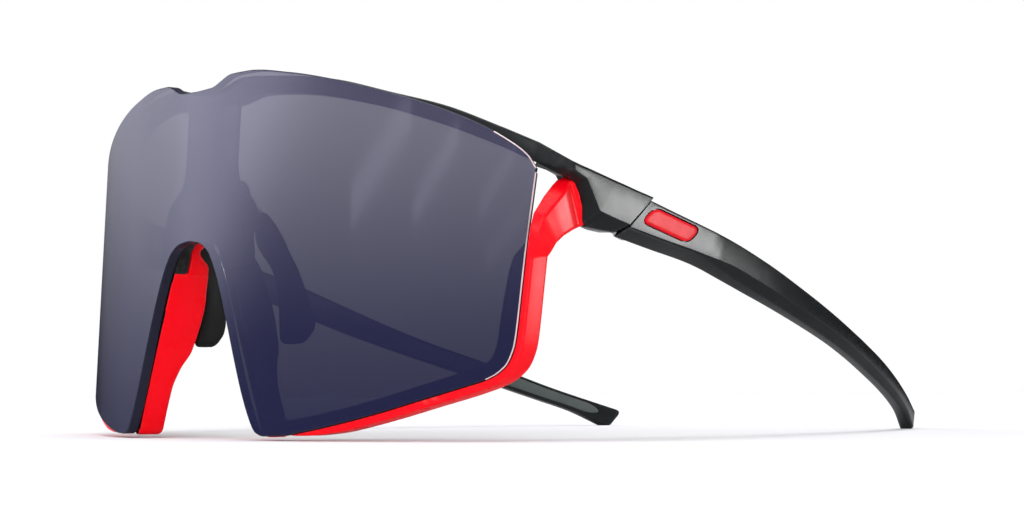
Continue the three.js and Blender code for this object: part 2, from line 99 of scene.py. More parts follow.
def through(points):
    """A monotone cubic curve through points, as a function of the first value; works on arrays."""
    x, y = np.array(points, float).T
    slope = np.diff(y) / np.diff(x)
    before = np.concatenate([slope[:1], slope])
    after = np.concatenate([slope, slope[-1:]])
    product = before * after
    total = np.where(product > 0, before + after, 1.0)
    tangent = np.where(product > 0, 2 * product / total, 0.0)

    def value(at):
        at = np.asarray(at, float)
        i = np.clip(np.searchsorted(x, at, side="right") - 1, 0, len(x) - 2)
        width = x[i + 1] - x[i]
        t = np.clip((at - x[i]) / width, 0, 1)
        rise = t * t * (3 - 2 * t)
        bend = tangent[i] * t * (1 - t) ** 2 - tangent[i + 1] * t * t * (1 - t)
        return y[i] * (1 - rise) + y[i + 1] * rise + bend * width

    return value


def on_lens(x, z, depth=0.0):
    """A point of the lens's cylinder, depth behind its outer surface."""
    turn = math.asin(x / LENS_RADIUS)
    reach = LENS_RADIUS - depth
    return np.array([reach * math.sin(turn), LENS_RADIUS - reach * math.cos(turn) + z * LEAN, z])


def spread(*stretches):
    """Stations along an axis: each stretch is its start, end and count."""
    return np.unique(np.round(np.concatenate([np.linspace(*stretch) for stretch in stretches]), 6))


top_edge = through([
    (0, 63.8), (4.5, 64), (10.5, 66), (15, 66.1), (25, 64.75), (34, 62.75), (45.5, 59.3), (52.6, 56.6),
    (59, 53.4), (63, 50.6), (65.8, 47.9), (LENS_EDGE, 45.6),
])
bottom_edge = through([
    (0, 36), (3, 35.6), (5.6, 34.2), (7.6, 31.6), (19.4, 2.9), (20.6, 1.4), (22.5, 0.8), (26, 0.9),
    (30, 1.45), (37.4, 2.95), (44.8, 4.85), (51.6, 7), (57.9, 9.1), (61.5, 10.5), (63.6, 12.3),
    (64.8, 15.5), (66, 32), (LENS_EDGE, 44.8),
])
brow_top = through([
    (0, 64.1), (5, 64.3), (11, 65.6), (20, 65), (32.3, 63.3), (44.1, 60), (53.1, 57.2), (61.4, 53.3),
    (LENS_EDGE, 50.3),
])
brow_bottom = through([
    (0, 60.6), (8, 60.9), (14.7, 62), (25, 61.3), (39, 58.5), (49.6, 55.1), (60.9, 50.1), (LENS_EDGE, 46.6),
])

# ---- camera ----

CAMERA_PLACE = np.array([309.73, -203.14, 7.94])
CAMERA_AZIMUTH, CAMERA_RISE, CAMERA_ROLL = 47.333, 3.725, -0.306
CAMERA_LENS = 70.71


def add_camera():
    data = bpy.data.cameras.new("camera")
    data.lens = CAMERA_LENS
    data.sensor_width = 36
    data.clip_start = 0.01
    data.clip_end = 50
    camera = bpy.data.objects.new("camera", data)
    scene.collection.objects.link(camera)
    turn = Matrix.Rotation(math.radians(CAMERA_AZIMUTH), 4, "Z")
    rise = Matrix.Rotation(math.radians(90 + CAMERA_RISE), 4, "X")
    roll = Matrix.Rotation(math.radians(CAMERA_ROLL), 4, "Z")
    camera.matrix_world = Matrix.Translation(Vector(metres(CAMERA_PLACE))) @ turn @ rise @ roll
    scene.camera = camera


add_camera()

# ---- mesh tools ----


def unit(vector):
    return vector / max(np.linalg.norm(vector), 1e-9)


def rounded(corners, radii, steps=4):
    """A closed ring with its corners rounded: each corner becomes a short curve of steps + 1 points."""
    ring = []
    count = len(corners)
    for i, radius in enumerate(radii):
        corner = np.asarray(corners[i], float)
        before = np.asarray(corners[i - 1], float) - corner
        after = np.asarray(corners[(i + 1) % count], float) - corner
        reach_in = min(radius, 0.48 * np.linalg.norm(before))
        reach_out = min(radius, 0.48 * np.linalg.norm(after))
        start, end = corner + unit(before) * reach_in, corner + unit(after) * reach_out
        for t in np.linspace(0, 1, steps + 1):
            ring.append(start * (1 - t) ** 2 + corner * 2 * t * (1 - t) + end * t * t)
    return np.array(ring)


def shrunk(ring, size, shift=(0, 0, 0)):
    """A ring scaled about its middle and moved."""
    middle = ring.mean(axis=0)
    return (ring - middle) * size + middle + np.array(shift)


def skin(rings, caps=True):
    """Points and faces of a skin over rings of equal length, closed by a face at each end."""
    size = len(rings[0])
    faces = []
    for r in range(len(rings) - 1):
        for i in range(size):
            a, b = r * size + i, r * size + (i + 1) % size
            faces.append((a, b, b + size, a + size))
    if caps:
        faces.append(tuple(reversed(range(size))))
        faces.append(tuple(range((len(rings) - 1) * size, len(rings) * size)))
    return np.concatenate(rings), faces


def new_piece(name, points, faces, materials, sharp=32):
    """A mesh object from points in millimetres, faces turned outwards, smooth but for its sharp edges."""
    mesh = bpy.data.meshes.new(name)
    mesh.from_pydata([tuple(p) for p in metres(points)], [], faces)
    for material in materials:
        mesh.materials.append(material)
    piece = bpy.data.objects.new(name, mesh)
    scene.collection.objects.link(piece)
    tidy(piece, sharp)
    return piece


def tidy(piece, sharp=32):
    """Turns the faces outwards and sets smooth shading with sharp edges."""
    work = bmesh.new()
    work.from_mesh(piece.data)
    bmesh.ops.remove_doubles(work, verts=work.verts, dist=1e-7)
    bmesh.ops.recalc_face_normals(work, faces=work.faces)
    work.to_mesh(piece.data)
    work.free()
    piece.data.shade_smooth()
    piece.data.set_sharp_from_angle(angle=math.radians(sharp))


def applied(piece, kind, tools, sharp=32):
    """Joins tools to a piece (UNION) or cuts them out of it (DIFFERENCE), and removes the tools."""
    for tool in tools:
        modifier = piece.modifiers.new(kind, "BOOLEAN")
        modifier.operation = kind
        modifier.solver = "EXACT"
        modifier.object = tool
    bpy.context.view_layer.update()
    made = bpy.data.meshes.new_from_object(piece.evaluated_get(bpy.context.evaluated_depsgraph_get()))
    piece.modifiers.clear()
    piece.data = made
    for tool in tools:
        bpy.data.objects.remove(tool)
    tidy(piece, sharp)
    return piece


def other_side(piece, name):
    """The same piece for the wearer's right side."""
    copy = piece.copy()
    copy.data = piece.data.copy()
    copy.name = name
    copy.data.name = name
    copy.data.transform(Matrix.Scale(-1, 4, (1, 0, 0)))
    copy.data.flip_normals()
    scene.collection.objects.link(copy)
    return copy


def place(piece, body, node):
    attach(piece, body)
    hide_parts(node)
    return piece


def place_pair(left, body, node):
    """Places a left piece and its mirror image; body and node hold SIDE where the side's name goes."""
    right = other_side(left, left.name.replace("left", "right"))
    for piece, side in ((left, "left"), (right, "right")):
        place(piece, body.replace("SIDE", side), node.replace("SIDE", side))
    return left, right


def refined(node, name, material, bevel, sharp=40):
    """A copy of a machined part with its facets merged and its edges broken by a small bevel."""
    source = frame["nodes"][node]
    mesh = source.data.copy()
    mesh.name = name
    mesh.materials.clear()
    mesh.materials.append(material)
    piece = bpy.data.objects.new(name, mesh)
    scene.collection.objects.link(piece)
    work = bmesh.new()
    work.from_mesh(mesh)
    bmesh.ops.remove_doubles(work, verts=work.verts, dist=2e-6)
    bmesh.ops.dissolve_limit(work, angle_limit=math.radians(2), verts=work.verts, edges=work.edges)
    hard = [e for e in work.edges if len(e.link_faces) == 2 and e.calc_face_angle(0) > math.radians(sharp)]
    bmesh.ops.bevel(work, geom=hard, offset=bevel / 1000, segments=2, profile=0.7, affect="EDGES",
                    clamp_overlap=True)
    for face in work.faces:
        face.material_index = 0
    work.to_mesh(mesh)
    work.free()
    tidy(piece)
    return piece


# ---- materials ----


def principled(name, base, roughness, **sockets):
    """A new material with one Principled shader; sockets are set by their names, spaces as underscores."""
    material = bpy.data.materials.new(name)
    material.use_nodes = True
    shader = material.node_tree.nodes["Principled BSDF"]
    shader.inputs["Base Color"].default_value = (*base, 1)
    shader.inputs["Roughness"].default_value = roughness
    for socket, value in sockets.items():
        shader.inputs[socket.replace("_", " ")].default_value = value
    return material, shader


def node(material, kind, inputs=None, **settings):
    """A node of a material with its settings and inputs; an input is a value or another node's output."""
    tree = material.node_tree
    made = tree.nodes.new(kind)
    for key, value in settings.items():
        setattr(made, key, value)
    for key, value in (inputs or {}).items():
        if isinstance(value, bpy.types.NodeSocket):
            tree.links.new(value, made.inputs[key])
        else:
            made.inputs[key].default_value = value
    return made


def noise(material, scale, detail=2.0, roughness=0.5, stretch=(1, 1, 1)):
    """Noise over the object's own coordinates, with its scale in cycles per metre."""
    place_in = node(material, "ShaderNodeTexCoord").outputs["Object"]
    mapped = node(material, "ShaderNodeMapping", {"Vector": place_in, "Scale": stretch})
    values = {"Vector": mapped.outputs["Vector"], "Scale": scale, "Detail": detail, "Roughness": roughness}
    return node(material, "ShaderNodeTexNoise", values).outputs["Fac"]


def between(material, value, low, high, from_low=0.0, from_high=1.0):
    values = {"Value": value, "From Min": from_low, "From Max": from_high, "To Min": low, "To Max": high}
    return node(material, "ShaderNodeMapRange", values).outputs["Result"]


def blend_of(material, factor, dark, light):
    mix = node(material, "ShaderNodeMix", data_type="RGBA")
    tree = material.node_tree
    tree.links.new(factor, mix.inputs["Factor"])
    mix.inputs[6].default_value = (*dark, 1)
    mix.inputs[7].default_value = (*light, 1)
    return mix.outputs[2]


def worn(material):
    """1 on a convex edge, 0 on a flat, broken up by noise so that the wear is uneven."""
    pointed = node(material, "ShaderNodeNewGeometry").outputs["Pointiness"]
    edge = between(material, pointed, 0, 1, 0.51, 0.62)
    patchy = between(material, noise(material, 900, 3), 0, 1, 0.4, 0.65)
    return node(material, "ShaderNodeMath", {0: edge, 1: patchy}, operation="MULTIPLY").outputs[0]


def textured(material, shader, colour, rough, grain, depth, fine=1.0):
    """Links a colour, a roughness range and a fine moulded grain to a shader."""
    tree = material.node_tree
    tree.links.new(colour, shader.inputs["Base Color"])
    tree.links.new(between(material, noise(material, 260, 4), *rough, 0.3, 0.7), shader.inputs["Roughness"])
    values = {"Height": noise(material, grain, 3, 0.6), "Strength": fine, "Distance": depth}
    bump = node(material, "ShaderNodeBump", values)
    tree.links.new(bump.outputs["Normal"], shader.inputs["Normal"])
    return material


def black_plastic():
    """Matte black moulded nylon with a fine spark-eroded grain."""
    material, shader = principled("black_plastic", (0.010, 0.011, 0.012), 0.26, Specular_IOR_Level=0.11)
    tone = blend_of(material, noise(material, 120, 3), (0.009, 0.0105, 0.011), (0.016, 0.0175, 0.018))
    mixed = node(material, "ShaderNodeMix", data_type="RGBA")
    tree = material.node_tree
    tree.links.new(worn(material), mixed.inputs["Factor"])
    tree.links.new(tone, mixed.inputs[6])
    mixed.inputs[7].default_value = (0.05, 0.053, 0.055, 1)
    return textured(material, shader, mixed.outputs[2], (0.19, 0.24), 4200, 0.000012, 0.3)


def painted_shade_lining():
    """The rim's near-black seat under the lens and inner faces: painted shade for the inside of the frame,
    which also reads as a dark inner lining.
    """
    material, shader = principled("painted_shade_lining", (0.004, 0.004, 0.005), 0.6, Specular_IOR_Level=0.05)
    tone = blend_of(material, noise(material, 300), (0.003, 0.003, 0.004), (0.006, 0.005, 0.006))
    return textured(material, shader, tone, (0.55, 0.7), 3000, 0.00001, 0.3)


def red_plastic():
    """Saturated red moulded nylon, satin."""
    material, shader = principled("red_plastic", (0.95, 0.001, 0.008), 0.3, Specular_IOR_Level=0.11)
    tone = blend_of(material, noise(material, 150, 3), (0.92, 0.001, 0.006), (1.0, 0.002, 0.012))
    mixed = node(material, "ShaderNodeMix", data_type="RGBA")
    tree = material.node_tree
    tree.links.new(worn(material), mixed.inputs["Factor"])
    tree.links.new(tone, mixed.inputs[6])
    mixed.inputs[7].default_value = (1.0, 0.05, 0.05, 1)
    return textured(material, shader, mixed.outputs[2], (0.26, 0.32), 3600, 0.00001, 0.25)


def inlay_red():
    """Red enamel inlay."""
    material, shader = principled("inlay_red", (0.75, 0.012, 0.02), 0.2, Specular_IOR_Level=0.03)
    tone = blend_of(material, noise(material, 700, 3), (0.66, 0.008, 0.015), (0.84, 0.018, 0.028))
    return textured(material, shader, tone, (0.18, 0.26), 2200, 0.00002, 0.25)


def rubber(name, light):
    """Green-grey rubber; light scales how pale it is: the grips take a pale copy and the nose pads a darkened
    copy as painted shade.
    """
    dark_tone = tuple(light * part for part in (0.036, 0.044, 0.042))
    pale_tone = tuple(light * part for part in (0.052, 0.060, 0.056))
    material, shader = principled(name, pale_tone, 0.55, Specular_IOR_Level=0.08)
    tone = blend_of(material, noise(material, 200, 4), dark_tone, pale_tone)
    return textured(material, shader, tone, (0.46, 0.6), 5200, 0.00002, 0.4)


def steel():
    """Fine turned and ground stainless steel."""
    material, shader = principled("steel", (0.6, 0.6, 0.62), 0.28, Metallic=1.0)
    fine = noise(material, 2500, 2, 0.5, (1, 1, 14))
    tone = blend_of(material, fine, (0.48, 0.48, 0.5), (0.68, 0.68, 0.7))
    return textured(material, shader, tone, (0.2, 0.36), 6000, 0.000008, 0.3)


def nylon():
    """Milky nylon washers."""
    material, shader = principled("nylon", (0.7, 0.7, 0.66), 0.45)
    tone = blend_of(material, noise(material, 800), (0.62, 0.62, 0.58), (0.76, 0.76, 0.72))
    return textured(material, shader, tone, (0.4, 0.5), 4000, 0.00001, 0.3)


# How much of the light each face of the lens stops, by height over the table in metres.
TINT_HEIGHTS = (0.002, 0.03, 0.066)
TINT_STOPS = (0.885, 0.785, 0.665)
VIOLET = (0.82, 0.80, 1.0, 1.0)
GLOSS_INDEX = 1.6  # refractive index that sets how much more the lens mirrors at a grazing angle


def lens_tint():
    """Smoke-violet polycarbonate that darkens downwards; each of its two faces stops some of the light."""
    material, shader = principled("lens_tint", (0.012, 0.013, 0.036), 0.07, IOR=1.5, Specular_Tint=VIOLET)
    tree = material.node_tree
    coordinates = node(material, "ShaderNodeTexCoord").outputs["Object"]
    height = node(material, "ShaderNodeSeparateXYZ", {"Vector": coordinates}).outputs["Z"]
    lower = between(material, height, TINT_STOPS[0], TINT_STOPS[1], TINT_HEIGHTS[0], TINT_HEIGHTS[1])
    upper = between(material, height, 0, TINT_STOPS[2] - TINT_STOPS[1], TINT_HEIGHTS[1], TINT_HEIGHTS[2])
    stop = node(material, "ShaderNodeMath", {0: lower, 1: upper}, operation="ADD").outputs[0]
    behind = node(material, "ShaderNodeNewGeometry").outputs["Backfacing"]
    index = between(material, behind, GLOSS_INDEX, 1 / GLOSS_INDEX)
    gloss = node(material, "ShaderNodeFresnel", {"IOR": index}).outputs["Fac"]
    grazing = between(material, gloss, 0, 1, 0.06, 0.25)
    rest = node(material, "ShaderNodeMath", {0: 1.0, 1: stop}, operation="SUBTRACT").outputs[0]
    parts = {0: grazing, 1: rest, 2: stop}
    closed = node(material, "ShaderNodeMath", parts, operation="MULTIPLY_ADD")
    tree.links.new(closed.outputs[0], shader.inputs["Alpha"])
    tone_height = between(material, height, 0, 1, 0.018, TINT_HEIGHTS[2])
    tone = blend_of(material, tone_height, (0.013, 0.014, 0.046), (0.046, 0.046, 0.086))
    tree.links.new(tone, shader.inputs["Base Color"])
    haze = between(material, noise(material, 60, 3), 0.06, 0.085, 0.3, 0.7)
    tree.links.new(haze, shader.inputs["Roughness"])
    return material


def lens_edge():
    """The ground edge of the lens: dark navy."""
    material, shader = principled("lens_edge", (0.010, 0.012, 0.026), 0.3, Specular_IOR_Level=0.15)
    tone = blend_of(material, noise(material, 500, 3), (0.012, 0.014, 0.028), (0.018, 0.020, 0.038))
    return textured(material, shader, tone, (0.25, 0.38), 3000, 0.00001, 0.2)


def lens_painted_glint():
    """Painted highlight: a pale pink-white colour on the bevel of the lens's outer edge, in place of the
    glint of its polished edge.
    """
    material, shader = principled("lens_painted_glint", (0.75, 0.6, 0.6), 0.25)
    tone = blend_of(material, noise(material, 220, 3), (0.56, 0.44, 0.44), (0.82, 0.66, 0.65))
    return textured(material, shader, tone, (0.18, 0.3), 3000, 0.00001, 0.2)


BLACK = black_plastic()
# painted shade for the rim's seat and the faces turned to the eye
PAINTED_SHADE_LINING = painted_shade_lining()
RED = red_plastic()
INLAY = inlay_red()
GRIP_RUBBER = rubber("grip_rubber", 1.85)
# the nose pads' copy is darkened as painted shade
PAD_RUBBER_PAINTED_SHADE = rubber("pad_rubber_painted_shade", 0.25)
STEEL = steel()
NYLON = nylon()
TINT = lens_tint()
EDGE = lens_edge()
# painted highlight colour for the lens's outer bevel
PAINTED_GLINT = lens_painted_glint()

# ---- the lens ----

PAINTED_GLINT_FROM = 61.0  # the painted highlight line shows on the edge from here outwards


def inset(curve, x, by, inwards):
    """Points of an edge curve moved by a distance square to it, inwards being 1 for up and -1 for down."""
    slope = (curve(x + 0.01) - curve(x - 0.01)) / 0.02
    length = np.sqrt(1 + slope ** 2)
    across = np.where(x < 0.01, 0, -slope / length * by * inwards)
    return x + across, curve(x) + by / length * inwards


def lens_rings():
    x = spread((0, 5, 14), (5, 8.2, 30), (8.2, 19, 20), (19, 23, 26), (23, 60, 60), (60, LENS_EDGE, 110))
    top_x, top_z = inset(top_edge, x, LENS_BEVEL, -1)
    low_x, low_z = inset(bottom_edge, x, LENS_BEVEL, 1)
    back = LENS_THICKNESS
    rings = []
    for i, at in enumerate(x):
        top, low = float(top_edge(at)), float(bottom_edge(at))
        rings.append(np.array([
            on_lens(low_x[i], low_z[i]),
            on_lens(top_x[i], top_z[i]),
            on_lens(at, top, LENS_BEVEL),
            on_lens(at, top, back - LENS_BEVEL),
            on_lens(top_x[i], top_z[i], back),
            on_lens(low_x[i], low_z[i], back),
            on_lens(at, low, back - LENS_BEVEL),
            on_lens(at, low, LENS_BEVEL),
        ]))
    mirror = np.array([-1, 1, 1])
    return [ring * mirror for ring in rings[:0:-1]] + rings


def lens_face_finish(face, count):
    """0 for the tinted faces, 1 for the ground edge, 2 for the painted highlight on the outer bevel."""
    side = face.index % 8
    if face.index >= count - 2:
        return 1
    if side in (0, 4):
        return 0
    reach = abs(face.center.x) * 1000
    if side in (1, 7) and reach > PAINTED_GLINT_FROM:
        return 2
    return 1


def add_lens():
    rings = lens_rings()
    points, faces = skin(rings)
    piece = new_piece("lens_shield", points, faces, [TINT, EDGE, PAINTED_GLINT], 25)
    for face in piece.data.polygons:
        face.material_index = lens_face_finish(face, len(faces))
    place(piece, "front", "lens")


add_lens()

# ---- the brow frame ----

# The brow's side stretch: its top edge, the lower end of its outer flat and its lower edge, as Y and Z.
END_PIECE = [
    (31, 46.85, 30.8, 45.2, 30.2, 44.6),
    (33, 46.25, 32.2, 44.5, 31.6, 44.2),
    (35, 45.75, 33.8, 43.8, 33.3, 43.3),
    (38, 44.95, 35.3, 41.2, 34.8, 40.4),
    (41, 44.15, 36.8, 38.5, 35.1, 36.9),
    (43, 43.65, 38.6, 38, 35.7, 35.9),
    (46, 42.85, 41, 37.3, 39.2, 35.6),
    (50.1, 41.85, 43.8, 36.6, 42.3, 35.4),
]
outer_face = through([(27, 64.5), (28.4, 66.8), (30.2, 70.6), (31.2, 71.1), (38, 71.3), (49.5, 71.5)])
inner_face = through([(30, 61.9), (34, 64.1), (38, 64.9), (49.5, 65.2)])
CHAMFER = 2.1
# How much higher the brow's inner lower edge is than its outer one, by X in front and by Y at the side.
front_tuck = through([(0, 0), (50, 0), (60, 0.7), (LENS_EDGE, 1.9)])
side_tuck = through([(30, 2.1), (34, 1.8), (40, 0.4), (50.2, 0)])


def brow_rings():
    radii = (0.35, 0.6, 0.7, 0.7, 0.45)
    front = [
        rounded([
            on_lens(x, brow_bottom(x), SEAT),
            on_lens(x, brow_top(x), SEAT),
            on_lens(x, brow_top(x) - 0.4, SEAT + BROW_DEPTH),
            on_lens(x, brow_bottom(x) + front_tuck(x), SEAT + BROW_DEPTH),
            on_lens(x, brow_bottom(x), SEAT + 0.6),
        ], radii)
        for x in spread((0, LENS_EDGE, 90))
    ]
    side = []
    for first, second in zip(END_PIECE, END_PIECE[1:]):
        for t in np.linspace(0, 1, 7)[:-1]:
            side.append([a + (b - a) * t for a, b in zip(first, second)])
    side.append(END_PIECE[-1])
    rings = []
    for top_y, top_z, flat_y, flat_z, low_y, low_z in side:
        rings.append(rounded([
            (outer_face(flat_y), flat_y, flat_z),
            (outer_face(top_y), top_y, top_z),
            (inner_face(top_y), top_y, top_z),
            (inner_face(low_y), low_y, low_z + side_tuck(low_y)),
            (outer_face(low_y) - CHAMFER, low_y, low_z),
        ], radii))
    return front + rings


# The column and the saddle over the notch: the left half's outline, and how far back it reaches by height.
BRIDGE_EDGE = [
    (6, 62), (5.9, 50), (7, 46.2), (10.8, 44), (12.6, 41.4), (13.2, 38), (14.2, 33.6), (13.4, 31.1),
    (7.9, 30.4), (6.4, 34.3), (4, 36.2), (0, 36.9),
]
bridge_back = through([
    (30, 4.95), (33, 4.9), (34.5, 4.65), (36.5, 4.65), (39, SEAT + BRIDGE_DEPTH), (62, SEAT + BRIDGE_DEPTH),
])


def plate_outline(edge, radius=1.0, steps=5):
    """A closed outline in X and Z from its left half, with rounded corners."""
    half = [(x, 0, z) for x, z in edge]
    other = [(-x, 0, z) for x, z in reversed(edge) if x > 0]
    corners = half + other
    return rounded(corners, [radius] * len(corners), steps)[:, [0, 2]]


def inset_outline(outline, by):
    """An outline that runs either way round, moved inwards by a distance, point by point."""
    ahead, behind = np.roll(outline, -1, axis=0), np.roll(outline, 1, axis=0)
    along = ahead - behind
    along /= np.maximum(np.linalg.norm(along, axis=1, keepdims=True), 1e-9)
    area = np.sum(outline[:, 0] * ahead[:, 1] - ahead[:, 0] * outline[:, 1])
    inwards = np.column_stack([-along[:, 1], along[:, 0]]) * math.copysign(1, area)
    return outline + inwards * by


def bent_plate(name, edge, front, back, soften, material):
    """A plate bent round the lens's axis, with softened edges; back gives its back's depth by height."""
    outline = plate_outline(edge)
    rings = []
    for by, share, inwards in ((1, 0, 0), (0.3, 0, 0.3), (0, 0, 1), (0, 1, -1), (0.3, 1, -0.3), (1, 1, 0)):
        ring = []
        for (x, z), (_, height) in zip(inset_outline(outline, by * soften), outline):
            depth = front + share * (float(back(height)) - front) + inwards * soften
            ring.append(on_lens(x, z, depth))
        rings.append(np.array(ring))
    points, faces = skin(rings)
    return new_piece(name, points, faces, [material])


def hinge_box(name, across, along, up):
    """A box by distances from the hinge's axis: across (X), along the temple and up the axis."""
    points = np.array([(u, v, w) for u in across for v in along for w in up], float)
    c, s = math.cos(HINGE_TILT), math.sin(HINGE_TILT)
    x, y, z = points.T
    turned = np.column_stack([x, y * c + z * s, z * c - y * s])
    faces = [(0, 1, 3, 2), (4, 6, 7, 5), (0, 4, 5, 1), (2, 3, 7, 6), (0, 2, 6, 4), (1, 5, 7, 3)]
    return new_piece(name, turned + HINGE, faces, [])


def hinge_bar(name, radius, low, high, sides=40):
    """A round bar on the hinge's axis."""
    axis = np.array([0, math.sin(HINGE_TILT), math.cos(HINGE_TILT)])
    side = np.array([0, math.cos(HINGE_TILT), -math.sin(HINGE_TILT)])
    across = np.array([1, 0, 0])
    turns = np.linspace(0, 2 * math.pi, sides, endpoint=False)
    rings = []
    for height in (low, high):
        centre = HINGE + axis * height
        rings.append(np.array([centre + radius * (across * math.cos(t) + side * math.sin(t)) for t in turns]))
    points, faces = skin(rings)
    return new_piece(name, points, faces, [])


KNUCKLE_RADIUS = 1.7
CLEAR = 0.25  # room left round the hinge's parts


def add_brow():
    right = brow_rings()
    mirror = np.array([-1, 1, 1])
    points, faces = skin([ring * mirror for ring in right[:0:-1]] + right)
    piece = new_piece("brow_frame_shell", points, faces, [BLACK])
    bridge = bent_plate("bridge", BRIDGE_EDGE, SEAT, bridge_back, 0.45, BLACK)
    applied(piece, "UNION", [bridge])
    tools = []
    for name in ("left", "right"):
        made = [
            hinge_box(
                "plate_" + name,
                (-0.9 - CLEAR, 0.6 + CLEAR),
                (-9.5 - CLEAR, 3),
                (-2.7 - CLEAR, 2.7 + CLEAR),
            ),
            hinge_bar("bar_" + name, KNUCKLE_RADIUS + CLEAR, -9, 9),
        ]
        if name == "right":
            for tool in made:
                tool.data.transform(Matrix.Scale(-1, 4, (1, 0, 0)))
                tool.data.flip_normals()
        tools += made
    applied(piece, "DIFFERENCE", tools)
    place(piece, "front", "brow_frame")


add_brow()

CARRIER_EDGE = [(0, 48), (3.4, 47.8), (5, 46.2), (5.4, 44), (4.6, 41.2), (2.4, 40), (0, 39.8)]
CARRIER_GAP = 0.6
CARRIER_THICKNESS = 3


def add_carrier():
    front = SEAT + BRIDGE_DEPTH + CARRIER_GAP
    back = front + CARRIER_THICKNESS
    piece = bent_plate("nose_carrier_clip", CARRIER_EDGE, front, lambda height: back, 0.5, BLACK)
    place(piece, "front", "nose_carrier")


add_carrier()

# ---- the lower rims ----

RIM_GAP = 0.1
# By distance from the nose: how far the rim stands outside the lens's edge, where its front starts, how far
# its ledge reaches behind the lens, and where its back ends.
rim_lip = through([
    (20, -0.25), (25.5, -0.15), (28.5, 0.3), (32, 0.8), (38, 1.25), (56, 1.25), (62, 1.0), (65, 0.8),
    (66, 0.75),
])
rim_front = through([(20, 2.7), (25.5, 2.5), (28.5, 1.2), (33, 0.9), (60, 0.8), (65, 0.4), (66, 0.35)])
rim_ledge = through([(20, 3.1), (24, 2.7), (60, 2.6), (65.2, 2.8), (65.7, 2.4), (66, 1.7)])
rim_back = through([(20, 5), (30, 4.8), (57, 4.8), (62, 4.5), (65, 4.3), (66, 4.2)])
RIM_RADII = (0.3, 0.15, 0.1, 0.35, 0.6, 0.7)


def rim_section(x, z, outwards, at_x):
    """A section of the rim at a point of the lens's edge; outwards is the edge's normal in X and Z."""
    lip, front, ledge, back = (float(f(at_x)) for f in (rim_lip, rim_front, rim_ledge, rim_back))

    def at(out, depth):
        return on_lens(x + out * outwards[0], z + out * outwards[1], depth)

    def behind(out, distance):
        return at(out, 0) + np.array([0, distance, 0])

    shoulder = min(RIM_GAP, lip - 0.15)
    step = min(0.45, front) if lip > 0.4 else front - 0.1
    return rounded([
        behind(lip, front),
        at(shoulder, step),
        at(shoulder, SEAT),
        at(-ledge, SEAT),
        at(-ledge, RIM_DEPTH),
        behind(lip, back),
    ], RIM_RADII)


# The strut that climbs back from the lens's edge to the end piece, with its corners in a section's order.
STRUT = [
    [(69.0, 33.4, 44.2), (66.6, 32.4, 44.4), (66.2, 32.6, 44.2),
     (65, 33.4, 43.2), (64.8, 35.4, 36.6), (69, 35.9, 36.4)],
    [(68.6, 32.4, 43.3), (66.6, 31.4, 43.9), (66.2, 31.6, 43.8),
     (65, 32.4, 42.6), (64.8, 34.3, 36.1), (68.5, 34.8, 35.9)],
    [(68.9, 31.0, 41.6), (66.7, 30.2, 43.0), (66.2, 30.6, 42.9),
     (65, 31.4, 41.6), (64.8, 33.2, 35.5), (68.9, 33.2, 35.4)],
    [(68.9, 28.7, 39.5), (66.8, 28.1, 41.0), (66.3, 28.6, 40.9),
     (65.1, 29.6, 39.8), (64.8, 31.4, 34.5), (68.9, 31.0, 34.3)],
    [(68.7, 26.2, 37.0), (67.0, 25.4, 37.9), (66.5, 26.9, 38.0),
     (65.2, 28.2, 37.2), (64.6, 30.0, 33.3), (68.6, 29.5, 33.0)],
    [(68.2, 25.6, 34.2), (67.1, 24.5, 35.4), (66.2, 26.6, 35.4),
     (64.9, 27.6, 35.0), (63.8, 29.2, 32.2), (68.1, 28.9, 31.6)],
]
RIM_TOP = 65.92


def rim_rings():
    strut_radii = (0.35, 0.3, 0.2, 0.4, 0.7, 0.7)
    strut = []
    for first, second in zip(STRUT, STRUT[1:]):
        for t in np.linspace(0, 1, 5)[:-1]:
            strut.append(rounded(np.array(first) * (1 - t) + np.array(second) * t, strut_radii))
    strut.append(rounded(STRUT[-1], strut_radii))
    x = np.linspace(20.7, RIM_TOP, 6000)
    z = bottom_edge(x)
    length = np.concatenate([[0], np.cumsum(np.hypot(np.diff(x), np.diff(z)))])
    stations = np.linspace(0, length[-1], 120)
    edge_x = np.interp(stations, length, x)[::-1]
    edge_z = bottom_edge(edge_x)
    along_x, along_z = np.gradient(edge_x), np.gradient(edge_z)
    size = np.hypot(along_x, along_z)
    sections = []
    for i in range(len(edge_x)):
        outwards = (-along_z[i] / size[i], along_x[i] / size[i])
        sections.append(rim_section(edge_x[i], float(edge_z[i]), outwards, edge_x[i]))
    return strut, sections


# How far behind the lens's outer surface the fin reaches, by height, and where its hook's front lies.
fin_back = through([
    (-1, 7.2), (9, 7.4), (13, 8.3), (16.5, 9.9), (24, 10.6), (28, 10.1), (31.8, 9.55), (32.5, 9.1),
    (33.1, 8.4), (33.8, 7.5), (34.4, 7.1), (35, 6.95), (35.6, 7.5), (36.1, 7.6), (36.6, 7.3),
])
hook_front = through([(28, 5.2), (33, 5.1), (34.5, 4.85), (36.6, 4.85)])
FIN_THICKNESS = 2.6
FIN_FOOT = 0.6
FIN_TOP = 36.6
SADDLE_FOOT = 30.6


def leg_x(z):
    """The lens's edge beside the nose, at a height."""
    return 19.4 + (z - 2.9) * (7.6 - 19.4) / (31.6 - 2.9)


def fin_ring(z, front, back, squeeze=0.0):
    x = leg_x(z) + 0.15
    return rounded([
        on_lens(x + squeeze, z, front + squeeze),
        on_lens(x + squeeze, z, back - squeeze),
        on_lens(x + FIN_THICKNESS - squeeze, z, back - 0.3 - squeeze),
        on_lens(x + FIN_THICKNESS - squeeze, z, front + squeeze),
    ], (0.45, 0.8, 0.8, 0.3), 5)


